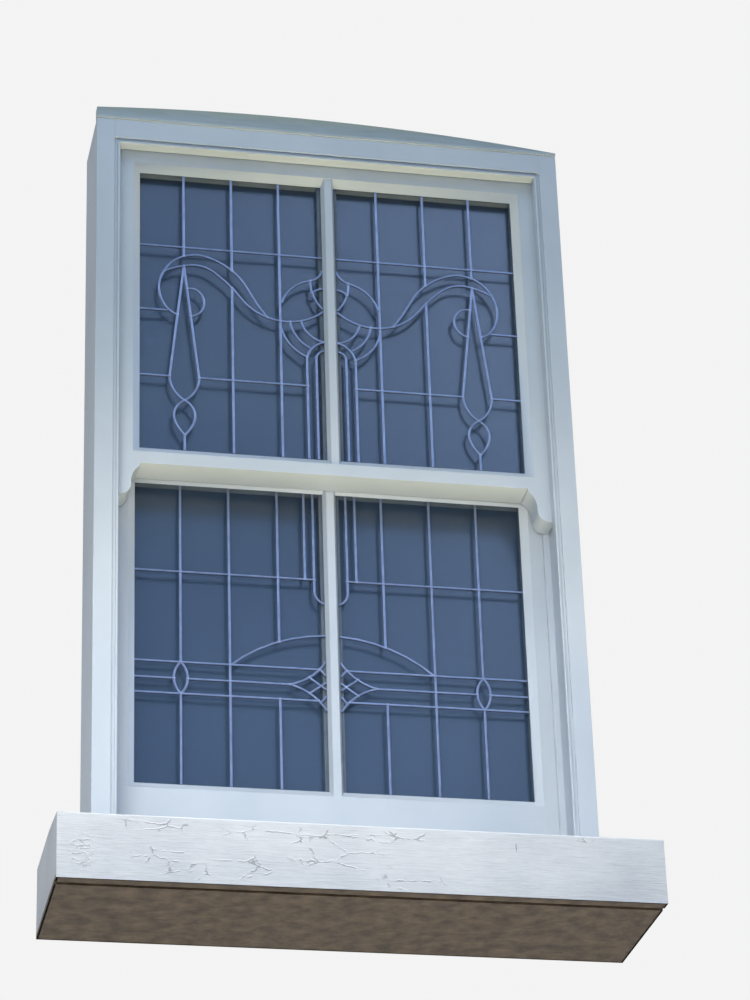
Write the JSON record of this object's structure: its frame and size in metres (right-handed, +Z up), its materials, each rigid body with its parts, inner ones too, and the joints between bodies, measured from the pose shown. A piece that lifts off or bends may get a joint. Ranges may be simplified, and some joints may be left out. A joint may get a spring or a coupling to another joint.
{
  "type": "vertical sliding sash window",
  "caption": "Painted timber sash window in its frame on a stone sill, with sliding upper and lower sashes, leaded sealed glazing, moulded horns and spring balances.",
  "frame": {"origin": "middle of the whole window's width and depth, on the underside of the stone sill", "axes": "+X to the right as seen from outside, +Y from outside to inside, +Z up"},
  "size_m": [1.164, 0.333, 1.8219],
  "materials": {
    "painted_timber": "satin white paint",
    "stone": "thick cracked white masonry paint",
    "glass": "clear float glass",
    "lead": "dull grey lead strip",
    "spacer": "black warm-edge spacer",
    "balance_tube": "white plastic tube",
    "balance_rod": "bright steel",
    "ironmongery": "polished brass"
  },
  "bodies": {
    "frame": {"stone_sill": "stone", "timber_sill": "painted_timber", "left_jamb": "painted_timber", "right_jamb": "painted_timber", "frame_head": "painted_timber", "left_outer_lining": "painted_timber", "right_outer_lining": "painted_timber", "head_outer_lining": "painted_timber", "head_scribe": "painted_timber", "left_parting_bead": "painted_timber", "right_parting_bead": "painted_timber", "head_parting_bead": "painted_timber", "left_staff_bead": "painted_timber", "right_staff_bead": "painted_timber", "head_staff_bead": "painted_timber", "sill_staff_bead": "painted_timber", "upper_left_balance_tube": "balance_tube", "upper_right_balance_tube": "balance_tube", "lower_left_balance_tube": "balance_tube", "lower_right_balance_tube": "balance_tube"},
    "upper_sash": {"upper_left_stile": "painted_timber", "upper_right_stile": "painted_timber", "upper_top_rail": "painted_timber", "upper_meeting_rail": "painted_timber", "upper_glazing_bar": "painted_timber", "upper_left_glazing_beads": "painted_timber", "upper_left_outer_pane": "glass", "upper_left_spacer": "spacer", "upper_left_inner_pane": "glass", "upper_left_leadwork": "lead", "upper_right_glazing_beads": "painted_timber", "upper_right_outer_pane": "glass", "upper_right_spacer": "spacer", "upper_right_inner_pane": "glass", "upper_right_leadwork": "lead", "upper_left_balance_rod": "balance_rod", "upper_right_balance_rod": "balance_rod", "fastener_keeps": "ironmongery"},
    "lower_sash": {"lower_left_stile": "painted_timber", "lower_right_stile": "painted_timber", "lower_meeting_rail": "painted_timber", "lower_bottom_rail": "painted_timber", "lower_glazing_bar": "painted_timber", "lower_left_glazing_beads": "painted_timber", "lower_left_outer_pane": "glass", "lower_left_spacer": "spacer", "lower_left_inner_pane": "glass", "lower_left_leadwork": "lead", "lower_right_glazing_beads": "painted_timber", "lower_right_outer_pane": "glass", "lower_right_spacer": "spacer", "lower_right_inner_pane": "glass", "lower_right_leadwork": "lead", "lower_left_balance_rod": "balance_rod", "lower_right_balance_rod": "balance_rod", "fastener_bases": "ironmongery", "sash_lifts": "ironmongery"},
    "left_lever": {"left_fastener_lever": "ironmongery"},
    "right_lever": {"right_fastener_lever": "ironmongery"}
  },
  "joints": [
    {"name": "upper_sash_slide", "type": "slide", "parent": "frame", "child": "upper_sash", "axis": [0, 0, -1], "range_m": [0, 0.6]},
    {"name": "lower_sash_slide", "type": "slide", "parent": "frame", "child": "lower_sash", "axis": [0, 0, 1], "range_m": [0, 0.6]},
    {"name": "left_lever_turn", "type": "hinge", "parent": "lower_sash", "child": "left_lever", "pos_m": [-0.2, 0.1025, 1.0135], "axis": [0, 0, 1], "range_deg": [0, 90]},
    {"name": "right_lever_turn", "type": "hinge", "parent": "lower_sash", "child": "right_lever", "pos_m": [0.2, 0.1025, 1.0135], "axis": [0, 0, -1], "range_deg": [0, 90]}
  ]
}
